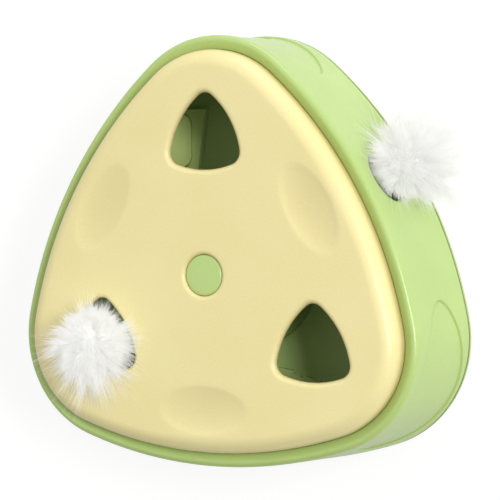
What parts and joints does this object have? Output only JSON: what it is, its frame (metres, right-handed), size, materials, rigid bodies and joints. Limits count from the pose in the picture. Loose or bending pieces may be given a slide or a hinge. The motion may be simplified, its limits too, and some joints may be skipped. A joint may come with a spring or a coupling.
{
  "type": "interactive cat toy",
  "caption": "Rounded triangular cat toy shaped like a slice of cheese, with paw holes, a power button and a motor-driven rotor that moves sprung fur balls inside.",
  "frame": {"origin": "on the surface the toy stands on, in the rotor's axis, which is the centre of the triangle and midway between the feet", "axes": "+Z out of the holed cover along the rotor's axis, +Y to the corner with the charging port, +X so that the side fur ball is on the +X side"},
  "size_m": [0.216, 0.2107, 0.096],
  "materials": {
    "case_green": "satin moulded ABS",
    "cover_cream": "satin moulded ABS",
    "inner_plastic": "plain moulded ABS",
    "gear_plastic": "plain moulded acetal",
    "washer_plastic": "plain nylon",
    "black_plastic": "plain moulded plastic",
    "board": "solder mask",
    "cell_sleeve": "shrink sleeve on a steel can",
    "steel": "plain bright steel",
    "foot_rubber": "matte silicone rubber",
    "fur": "white fur"
  },
  "bodies": {
    "housing": {"back_cover": "case_green", "rubber_feet": "foot_rubber", "main_shell": "case_green", "top_cover": "cover_cream", "inner_tray": "case_green", "centre_column": "inner_plastic", "thrust_washer": "washer_plastic", "hub_clip": "steel", "switch_holder": "inner_plastic", "button_board": "board", "button_switch": "black_plastic", "button_spring": "steel", "gear_motor": "steel", "battery_cell": "cell_sleeve", "battery_cradle": "black_plastic", "main_board": "board", "board_components": "black_plastic", "charge_board": "board", "charge_socket": "steel", "case_screws": "steel", "tray_screws": "steel", "cover_screws": "steel", "motor_screws": "steel"},
    "rotor": {"rotor_gear": "gear_plastic", "rotor_frame": "inner_plastic", "lift_posts": "steel", "post_bridge": "inner_plastic", "lift_springs": "steel", "side_springs": "steel"},
    "lift": {"lift_carriage": "gear_plastic", "top_fur_ball": "fur"},
    "side_plunger": {"side_yoke": "gear_plastic", "side_rods": "steel", "rod_collars": "steel", "side_fur_ball": "fur"},
    "pinion": {"motor_shaft": "steel", "motor_pinion": "gear_plastic"},
    "button": {"power_button": "case_green"}
  },
  "joints": [
    {"name": "rotor_turn", "type": "hinge", "parent": "housing", "child": "rotor", "pos_m": [0, 0, 0.0155], "axis": [0, 0, 1], "range_deg": [-120, 120], "deforming": ["top_fur_ball", "side_fur_ball"]},
    {"name": "pinion_spin", "type": "hinge", "parent": "housing", "child": "pinion", "pos_m": [0, 0.04, 0.0155], "axis": [0, 0, 1], "range_deg": [-480, 480]},
    {"name": "lift_slide", "type": "slide", "parent": "rotor", "child": "lift", "axis": [0, 0, 1], "range_m": [-0.027, 0], "stiffness_N_per_m": 20, "springref_m": 0.03, "deforming": ["lift_springs", "top_fur_ball"]},
    {"name": "side_slide", "type": "slide", "parent": "rotor", "child": "side_plunger", "axis": [0.866, 0.5, 0], "range_m": [-0.033, 0], "stiffness_N_per_m": 20, "springref_m": 0.03, "deforming": ["side_springs", "side_fur_ball"]},
    {"name": "button_press", "type": "slide", "parent": "housing", "child": "button", "axis": [0, 0, 1], "range_m": [-0.0012, 0], "stiffness_N_per_m": 400, "springref_m": 0.001, "deforming": ["button_spring"]}
  ],
  "couplings": [
    {"joint": "pinion_spin", "follows": "rotor_turn", "ratio": -4}
  ]
}
